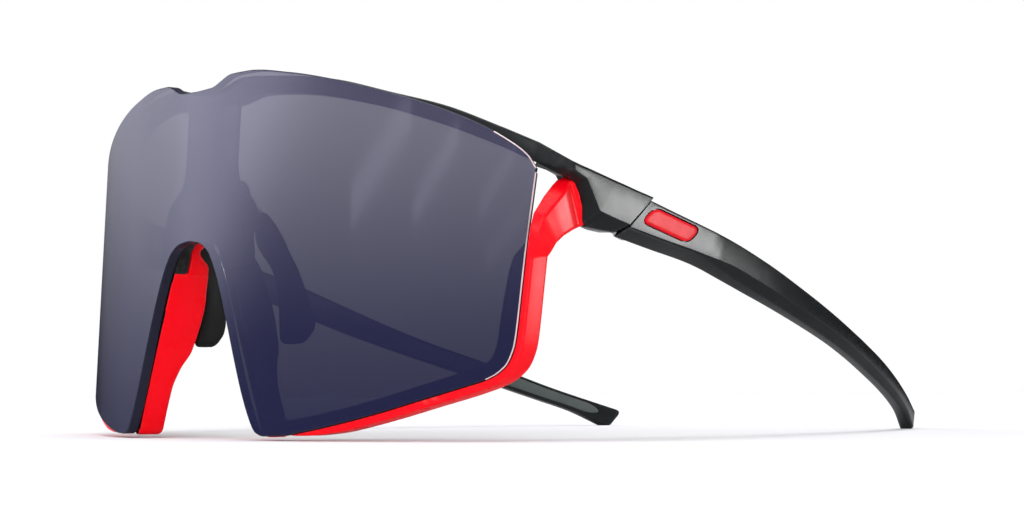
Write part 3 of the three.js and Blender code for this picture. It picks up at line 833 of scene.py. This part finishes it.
def fin_pieces():
    """The fin beside the nose: its body behind the lens, and the hook that climbs past the saddle."""
    front = SEAT + 0.05
    foot = ((FIN_FOOT, 0.7), (FIN_FOOT + 0.15, 0.35), (FIN_FOOT + 0.5, 0.1))
    head = ((SADDLE_FOOT + 0.15, 0.1), (SADDLE_FOOT + 0.3, 0.35))
    body = [fin_ring(z, front, fin_back(z), by) for z, by in foot]
    body += [fin_ring(z, front, fin_back(z)) for z in np.linspace(FIN_FOOT + 1, SADDLE_FOOT - 0.1, 40)]
    body += [fin_ring(z, front, fin_back(z), by) for z, by in head]
    hook = [
        fin_ring(z, hook_front(z), fin_back(z) - 0.02, 0.03)
        for z in np.linspace(SADDLE_FOOT - 2, FIN_TOP - 0.5, 32)
    ]
    tip = ((FIN_TOP - 0.2, 0.15), (FIN_TOP, 0.4))
    hook += [fin_ring(z, hook_front(z), fin_back(z), by) for z, by in tip]
    made = []
    for name, rings in (("fin_body", body), ("fin_hook", hook)):
        points, faces = skin(rings)
        made.append(new_piece(name, points, faces, [RED]))
    return made


EYE = np.array([36, 30, 30])  # a point inside the rim's loop, on the wearer's side


def paint_inside_shade(piece):
    """Gives the near-black painted-shade finish to the faces that lie against the lens and to those that face
    the eye, where the inside of the frame lies in shade.
    """
    for face in piece.data.polygons:
        centre = np.array(face.center) * 1000 - ORIGIN
        if np.dot(unit(EYE - centre), face.normal) > 0.5 and abs(face.normal.y) < 0.75:
            face.material_index = 1
        if centre[0] > LENS_EDGE or face.normal.y > -0.6:
            continue
        turn = math.atan2(centre[0], LENS_RADIUS - centre[1] + centre[2] * LEAN)
        depth = LENS_RADIUS - centre[0] / max(math.sin(turn), 1e-6)
        at_x = LENS_RADIUS * math.sin(turn)
        behind_lens = bottom_edge(at_x) - 0.05 < centre[2] < top_edge(at_x)
        if behind_lens and SEAT - 0.15 < depth < SEAT + 0.3:
            face.material_index = 1


def add_rims():
    strut, sections = rim_rings()
    points, faces = skin(strut + sections)
    # the second finish is the near-black painted shade of the rim's inner faces
    rim = new_piece("lower_rim_left_shell", points, faces, [RED, PAINTED_SHADE_LINING])
    applied(rim, "UNION", fin_pieces())
    paint_inside_shade(rim)
    place_pair(rim, "front", "lower_rim_SIDE")


add_rims()

# ---- the nosepiece ----

# The left pad's line from its foot to the wire, with the pad's width, thickness and turn at each point.
PAD = [
    (14.2, 16.2, 17.2, 5.4, 1.3, 8), (14.2, 16.2, 17.45, 6.3, 2, 8), (14.15, 16.2, 18.1, 6.9, 2.6, 8),
    (13.9, 16.25, 21, 6.9, 3, 8), (13.3, 15.8, 25.5, 5.7, 3, 8), (12.6, 14.6, 30.5, 5.0, 2.8, 8),
    (11.4, 12.5, 35, 5.7, 2.6, 8), (10, 12.0, 38.6, 4.4, 2.5, 6), (8.5, 11.8, 41, 2.8, 2.4, 4),
]
BEND_POINT = (6.2, 11, 43.3)
WIRE_RADIUS = 0.6
foot_lift = through([(17, 3.2), (18, 2.6), (20.5, 1.1), (24, 0), (60, 0)])  # raises the foot's back corner


def pad_ring(row):
    centre, width, thickness, turn = np.array(row[:3]), row[3], row[4], math.radians(row[5])
    ring = []
    for t in np.linspace(0, 2 * math.pi, 36, endpoint=False):
        u = width / 2 * math.copysign(abs(math.cos(t)) ** 0.7, math.cos(t))
        v = thickness / 2 * math.copysign(abs(math.sin(t)) ** 0.7, math.sin(t))
        lift = float(foot_lift(centre[2])) * max(0, 2 * u / width) ** 2
        offset = (u * math.sin(turn) + v * math.cos(turn), u * math.cos(turn) - v * math.sin(turn), lift)
        ring.append(centre + np.array(offset))
    return np.array(ring)


def add_pads():
    heights = [row[2] for row in PAD]
    curves = [through([(row[2], row[i]) for row in PAD]) for i in (0, 1, 3, 4, 5)]
    rings = []
    for z in np.concatenate([heights[:2], np.linspace(heights[2], heights[-1], 46)]):
        x, y, width, thickness, turn = (float(curve(z)) for curve in curves)
        rings.append(pad_ring((x, y, z, width, thickness, turn)))
    rings.insert(0, shrunk(rings[0], 0.6, (0, 0, -0.14)))
    rings.append(shrunk(rings[-1], 0.7, (-0.1, 0, 0.25)))
    points, faces = skin(rings)
    pad = new_piece("nose_pad_left_rubber", points, faces, [PAD_RUBBER_PAINTED_SHADE], 50)
    for piece in place_pair(pad, "nose_SIDE", "nose_pad_SIDE"):
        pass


def add_wires():
    data = bpy.data.curves.new("nose_wire_left_bar", "CURVE")
    data.dimensions = "3D"
    data.bevel_depth = WIRE_RADIUS / 1000
    data.bevel_resolution = 4
    data.use_fill_caps = True
    line = [BEND_POINT] + [row[:3] for row in reversed(PAD[3:])]
    spline = data.splines.new("BEZIER")
    spline.bezier_points.add(len(line) - 1)
    for point, at in zip(spline.bezier_points, metres(line)):
        point.co = at
        point.handle_left_type = point.handle_right_type = "AUTO"
    curve = bpy.data.objects.new("wire_curve", data)
    scene.collection.objects.link(curve)
    bpy.context.view_layer.update()
    mesh = bpy.data.meshes.new_from_object(curve.evaluated_get(bpy.context.evaluated_depsgraph_get()))
    bpy.data.objects.remove(curve)
    mesh.materials.clear()
    mesh.materials.append(STEEL)
    wire = bpy.data.objects.new("nose_wire_left_bar", mesh)
    scene.collection.objects.link(wire)
    tidy(wire)
    place_pair(wire, "nose_SIDE", "nose_wire_SIDE")


add_pads()
add_wires()

# ---- the temples ----

# All of these run along the arm, by Y.
temple_top = through([
    (49.6, 41.2), (56, 39.4), (64, 37.2), (72, 34.9), (80, 32.2), (96, 26.3), (112, 20.5), (128, 15.1),
    (144, 9), (152, 6.1), (158, 3.9),
])
temple_bottom = through([
    (43.6, 36.2), (52, 34.3), (62, 32.1), (71, 29.2), (81, 25.7), (92, 22), (108, 17), (124, 11.9),
    (140, 6.5), (148, 3.6), (155, 0),
])
temple_outer = through([
    (43, 71.5), (66, 71.6), (68, 71.5), (76, 71.0), (84, 70.4), (92, 69.4), (100, 68.1), (108, 66.4),
    (116, 64.2), (124, 61.6), (132, 58.9), (140, 55.8), (148, 52.1), (158, 46.8),
])
temple_thickness = through([(43, 4), (60, 4.2), (84, 4.2), (108, 3.8), (158, 3.6)])
bottom_tilt = through([(43, 1.5), (70, 1), (95, 0.1), (158, 0)])
temple_lag = through([(49.6, 5.8), (60, 3.4), (72, 2.2), (144, 2), (158, 3)])  # bottom edge's lead
crease_lift = through([(43, 0), (62, 0.2), (72, 1.1), (95, 1.4), (120, 1.1), (150, 0.5), (158, 0.3)])
crease_inset = through([(43, 0.5), (62, 0.6), (75, 1.3), (120, 1.2), (158, 0.7)])
TEMPLE_START = 49.6
TEMPLE_TIP = 158


def temple_ring(top_y):
    low_y = top_y - temple_lag(top_y)
    top, low = temple_top(top_y), temple_bottom(low_y)
    crease = low + crease_lift(low_y)
    crease_y = low_y + (top_y - low_y) * (crease - low) / (top - low)
    out_low = temple_outer(low_y)
    out_crease = temple_outer(crease_y)
    corners = [
        (out_crease, crease_y, crease),
        (temple_outer(top_y), top_y, top),
        (temple_outer(top_y) - temple_thickness(top_y), top_y, top),
        (out_low - temple_thickness(low_y), low_y, low - bottom_tilt(low_y)),
        (out_low - crease_inset(low_y), low_y, low),
    ]
    return rounded(corners, (0.35, 0.6, 0.8, 0.8, 0.5))


GRIP_FROM, GRIP_TO, GRIP_END, GRIP_PROUD = 102, 154.5, 4, 0.35


def grip_rings():
    """The soft insert of the temple's inner face, crowned and closing in at both ends."""
    rings = []
    full_from, full_to = GRIP_FROM + GRIP_END, GRIP_TO - GRIP_END
    for top_y in spread((GRIP_FROM, full_from, 14), (full_from, full_to, 40), (full_to, GRIP_TO, 14)):
        low_y = top_y - temple_lag(top_y)
        top, low = temple_top(top_y), temple_bottom(low_y)
        end = min(top_y - GRIP_FROM, GRIP_TO - top_y)
        closing = max(0, min(0.97, 1 - end / GRIP_END))
        half = ((top - low) / 2 - 0.6) * math.sqrt(1 - closing ** 2)
        middle = (top + low) / 2
        ring = []
        for share, inward in ((-1, 1), (1, 1), (1, 0), (0.8, -GRIP_PROUD * 0.8), (0, -GRIP_PROUD),
                              (-0.8, -GRIP_PROUD * 0.8), (-1, 0)):
            z = middle + share * half
            y = top_y + (low_y - top_y) * (top - z) / (top - low)
            ring.append((temple_outer(y) - temple_thickness(y) + inward, y, z))
        rings.append(rounded(ring, [0.25] * len(ring), 2))
    return rings


BADGE_LENGTH, BADGE_HEIGHT, BADGE_CORNER = 11.6, 3.5, 1.3
BADGE_Y, BADGE_Z, BADGE_SLOPE, BADGE_SLANT = 54.3, 37.1, -0.27, 0.9


def badge_ring(grow, out):
    """The slanted inlay's outline grown by a distance, out in front of the temple's outer face."""
    half_length, half_height = BADGE_LENGTH / 2 + grow, BADGE_HEIGHT / 2 + grow
    corner = min(BADGE_CORNER + grow, half_height)
    flat = rounded([
        (half_length, half_height, 0), (-half_length, half_height, 0),
        (-half_length, -half_height, 0), (half_length, -half_height, 0),
    ], [corner * 1.25] * 4, 8)
    ring = []
    for u, v, _ in flat:
        y = BADGE_Y + u + v * BADGE_SLANT
        ring.append((temple_outer(BADGE_Y) + out, y, BADGE_Z + v + (y - BADGE_Y) * BADGE_SLOPE))
    return np.array(ring)


def badge_pieces():
    """The crowned inlay, and the tool that cuts its pocket."""
    levels = [(0, -0.5), (0, 0.02), (-0.08, 0.09), (-0.22, 0.13), (-0.6, 0.16), (-1.1, 0.175)]
    points, faces = skin([badge_ring(grow, out) for grow, out in levels])
    inlay = new_piece("temple_inlay_left_enamel", points, faces, [INLAY])
    points, faces = skin([badge_ring(0.28, -0.55), badge_ring(0.28, 1)])
    return inlay, new_piece("badge_pocket", points, faces, [])


def add_temples():
    rings = [temple_ring(y) for y in spread((TEMPLE_START, 62, 20), (62, 74, 26), (74, TEMPLE_TIP, 80))]
    tip = rings[-1]
    for travel, size in ((0.3, 0.97), (0.6, 0.88), (0.85, 0.7), (1, 0.4)):
        rings.append(shrunk(tip, size, np.array([-0.8, 1.3, -0.53]) * travel))
    points, faces = skin(rings)
    temple = new_piece("temple_left_shell", points, faces, [BLACK], 22)
    inlay, pocket = badge_pieces()
    tools = [
        pocket,
        hinge_box(
            "plate",
            (1.1 - CLEAR, 2.5 + CLEAR),
            (2.2 - CLEAR, 10 + CLEAR),
            (-1.9 - CLEAR, 1.9 + CLEAR),
        ),
        hinge_box("arm", (-0.25, 2.5 + CLEAR), (-0.25, 2.6 + CLEAR), (-1.2 - CLEAR, 1.2 + CLEAR)),
        hinge_bar("bar", KNUCKLE_RADIUS + CLEAR, -5, 5),
    ]
    applied(temple, "DIFFERENCE", tools, 22)
    body = "temple_SIDE_arm"
    place_pair(temple, body, "temple_SIDE")
    place_pair(inlay, body, "temple_inlay_SIDE")
    points, faces = skin(grip_rings())
    grip = new_piece("temple_grip_left_rubber", points, faces, [GRIP_RUBBER])
    place_pair(grip, body, "temple_grip_SIDE")


add_temples()

# ---- the hinges ----

for side in ("left", "right"):
    for part, name, material, slot, bevel in (
        ("hinge_frame_leaf", "plate", STEEL, "steel", 0.15),
        ("hinge_temple_leaf", "plate", STEEL, "steel", 0.15),
        ("hinge_screw", "turned", STEEL, "steel", 0.1),
        ("hinge_washer_upper", "ring", NYLON, "nylon", 0.05),
        ("hinge_washer_lower", "ring", NYLON, "nylon", 0.05),
    ):
        source = f"{part}_{side}"
        body = frame["nodes"][source]["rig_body"]
        place(refined(source, f"{source}_{name}", material, bevel), body, source)

# ---- stage and light ----

FLOOR_SIZE = 12.0  # metres
FLOOR_WHITE = (0.8, 0.8, 0.8)
FLOOR_REFLECTED_SHADE = (0.45, 0.45, 0.45)  # painted shade: the floor is darker only where the glossy parts mirror it, so their undersides read darker


def add_floor():
    mesh = bpy.data.meshes.new("floor")
    half = FLOOR_SIZE / 2
    corners = [(-half, -half, 0), (half, -half, 0), (half, half, 0), (-half, half, 0)]
    mesh.from_pydata(corners, [], [(0, 1, 2, 3)])
    floor = bpy.data.objects.new("floor", mesh)
    scene.collection.objects.link(floor)
    floor.location.z = cad_low.z
    material, shader = principled("floor_white", FLOOR_WHITE, 0.9, Specular_IOR_Level=0.0)
    # Painted shade: glossy rays see the floor darker than the camera does.
    glossy_ray_shade = node(material, "ShaderNodeLightPath").outputs["Is Glossy Ray"]
    tone = blend_of(material, glossy_ray_shade, FLOOR_WHITE, FLOOR_REFLECTED_SHADE)
    material.node_tree.links.new(tone, shader.inputs["Base Color"])
    mesh.materials.append(material)


# Brightness of the studio's surround by the sine of the height angle.
SURROUND = ((0.0, 0.10), (0.08, 0.14), (0.16, 0.65), (0.26, 1.5), (0.45, 1.1), (1.0, 0.8))
# The share of it left by the direction's Y: full in front of the glasses, fading to the back.
ROUND = ((-1, 1), (-0.55, 1), (-0.2, 0.5), (0, 0.33), (0.42, 0.15), (0.6, 0.08), (1, 0.08))
# A wide soft glow on the wearer's right front: its strength by a slanted X, by Y and by the height.
GLOW_SLANT, GLOW_LEVEL = 2.7, 0.16
GLOW_RISE = (
    (-1.6, 2.75), (-0.766, 2.75), (-0.656, 2.1), (-0.574, 1.25), (-0.5, 0.6), (-0.34, 0.08), (0, 0), (1.2, 0),
)
GLOW_ROUND = (
    (-1, 1), (-0.64, 1), (-0.39, 0.56), (-0.12, 0.37), (0.0, 0.26), (0.2, 0.17), (0.6, 0.05), (1, 0),
)
GLOW_HEIGHT = (
    (0, 0.3), (0.05, 0.42), (0.087, 0.6), (0.12, 0.85), (0.156, 1), (0.3, 1), (0.5, 0.3), (0.7, 0), (1, 0),
)


def computed(tree, operation, *values):
    """The output of a math node over values or other nodes' outputs."""
    made = tree.nodes.new("ShaderNodeMath")
    made.operation = operation
    for socket, value in zip(made.inputs, values):
        if isinstance(value, bpy.types.NodeSocket):
            tree.links.new(value, socket)
        else:
            socket.default_value = value
    return made.outputs[0]


def drawn_curve(tree, value, points, low, high, top):
    """A curve node through points, for a value between low and high, that gives results up to top."""
    scaled = tree.nodes.new("ShaderNodeMapRange")
    scaled.inputs["From Min"].default_value, scaled.inputs["From Max"].default_value = low, high
    drawn = tree.nodes.new("ShaderNodeFloatCurve")
    curve = drawn.mapping.curves[0]
    places = [((at - low) / (high - low), result / top) for at, result in points]
    curve.points[0].location = places[0]
    curve.points[1].location = places[-1]
    for at in places[1:-1]:
        curve.points.new(*at)
    drawn.mapping.update()
    tree.links.new(value, scaled.inputs["Value"])
    tree.links.new(scaled.outputs["Result"], drawn.inputs["Value"])
    return computed(tree, "MULTIPLY", drawn.outputs["Value"], top)


def add_world():
    """White to the eye, with a darker band along the horizon for what the glasses reflect."""
    world = bpy.data.worlds.new("world")
    scene.world = world
    world.use_nodes = True
    tree = world.node_tree
    seen = tree.nodes["Background"]
    seen.inputs["Strength"].default_value = 1.0
    seen.inputs["Color"].default_value = (1, 1, 1, 1)
    lit = tree.nodes.new("ShaderNodeBackground")
    mix = tree.nodes.new("ShaderNodeMixShader")
    path = tree.nodes.new("ShaderNodeLightPath")
    place_in = tree.nodes.new("ShaderNodeTexCoord")
    split = tree.nodes.new("ShaderNodeSeparateXYZ")
    tree.links.new(place_in.outputs["Generated"], split.inputs["Vector"])
    across, back, up = split.outputs["X"], split.outputs["Y"], split.outputs["Z"]
    surround = computed(tree, "MULTIPLY", drawn_curve(tree, up, SURROUND, 0, 1, 2),
                        drawn_curve(tree, back, ROUND, -1, 1, 1))
    raised = computed(tree, "MULTIPLY", computed(tree, "SUBTRACT", up, GLOW_LEVEL), -GLOW_SLANT)
    slanted = computed(tree, "ADD", across, raised)
    glow = computed(tree, "MULTIPLY", drawn_curve(tree, slanted, GLOW_RISE, -1.6, 1.2, 3),
                    drawn_curve(tree, back, GLOW_ROUND, -1, 1, 1))
    glow = computed(tree, "MULTIPLY", glow, drawn_curve(tree, up, GLOW_HEIGHT, 0, 1, 1))
    lit.inputs["Color"].default_value = (0.98, 0.98, 1.06, 1)
    tree.links.new(computed(tree, "ADD", surround, glow), lit.inputs["Strength"])
    tree.links.new(path.outputs["Is Camera Ray"], mix.inputs["Fac"])
    tree.links.new(lit.outputs["Background"], mix.inputs[1])
    tree.links.new(seen.outputs["Background"], mix.inputs[2])
    tree.links.new(mix.outputs["Shader"], tree.nodes["World Output"].inputs["Surface"])


def add_panel(name, at, towards, width, height, radiance):
    """A soft rectangular lamp at a point in millimetres, facing another, hidden from the camera."""
    data = bpy.data.lights.new(name, "AREA")
    data.shape = "RECTANGLE"
    data.size, data.size_y = width / 1000, height / 1000
    data.energy = radiance * math.pi * data.size * data.size_y
    lamp = bpy.data.objects.new(name, data)
    scene.collection.objects.link(lamp)
    spot, aim = Vector(metres(at)), Vector(metres(towards))
    facing = (aim - spot).to_track_quat("-Z", "Y").to_matrix().to_4x4()
    lamp.matrix_world = Matrix.Translation(spot) @ facing
    lamp.visible_camera = False
    return lamp


def add_far_light(name, towards, energy, angle):
    """A far, round, soft lamp in a direction from the glasses."""
    data = bpy.data.lights.new(name, "SUN")
    data.energy = energy
    data.angle = math.radians(angle)
    lamp = bpy.data.objects.new(name, data)
    lamp.rotation_euler = Vector(towards).to_track_quat("Z", "Y").to_euler()
    scene.collection.objects.link(lamp)


LAMP_DISTANCE = 800
FLANK = np.array([71.5, 50, 40])  # the middle of the end piece's outer face


def mirrored_at(x, z, distance):
    """The point in front of the lens that the camera sees reflected at a point of it."""
    at = on_lens(x, z)
    turn = math.asin(x / LENS_RADIUS)
    normal = unit(np.array([math.sin(turn), -math.cos(turn), math.cos(turn) * LEAN]))
    ray = unit(at - CAMERA_PLACE)
    return at + distance * (ray - 2 * np.dot(ray, normal) * normal)


def add_streak(name, start, end, thickness, radiance):
    """A thin lamp whose reflection runs over the lens from start to end, given as X and Z on it."""
    first, last = mirrored_at(*start, LAMP_DISTANCE), mirrored_at(*end, LAMP_DISTANCE)
    middle = (first + last) / 2
    data = bpy.data.lights.new(name, "AREA")
    data.shape = "RECTANGLE"
    data.size, data.size_y = thickness / 1000, np.linalg.norm(last - first) / 1000
    data.energy = radiance * math.pi * data.size * data.size_y
    lamp = bpy.data.objects.new(name, data)
    scene.collection.objects.link(lamp)
    out = unit(middle - on_lens((start[0] + end[0]) / 2, (start[1] + end[1]) / 2))
    along = unit(last - first)
    across = unit(np.cross(along, out))
    out = np.cross(across, along)
    turn = Matrix(np.column_stack([across, along, out]).tolist()).to_4x4()
    lamp.matrix_world = Matrix.Translation(Vector(metres(middle))) @ turn
    lamp.visible_camera = False


def add_stage():
    scene.view_settings.view_transform = "Standard"
    add_floor()
    add_world()
    add_far_light("overhead", (0, 0, 1), 2.1, 44)
    add_far_light("key", (0.72, -0.64, 0.27), 1.2, 34)
    panel_place = FLANK + LAMP_DISTANCE * np.array([0.71, 0.699, 0.083])
    panel = add_panel("flank_panel", panel_place, FLANK, 240, 180, 36)
    panel.visible_diffuse = False
    add_streak("streak_wide", (48.3, 56.5), (38.5, 40), 26, 1.6)
    add_streak("streak_middle", (56, 52.5), (49.3, 38.5), 14, 1.9)
    add_streak("streak_narrow", (64, 48.5), (59.2, 38.4), 8, 1.8)
    add_streak("streak_low", (65.4, 38.5), (60.6, 30.3), 8, 1.1)


add_stage()
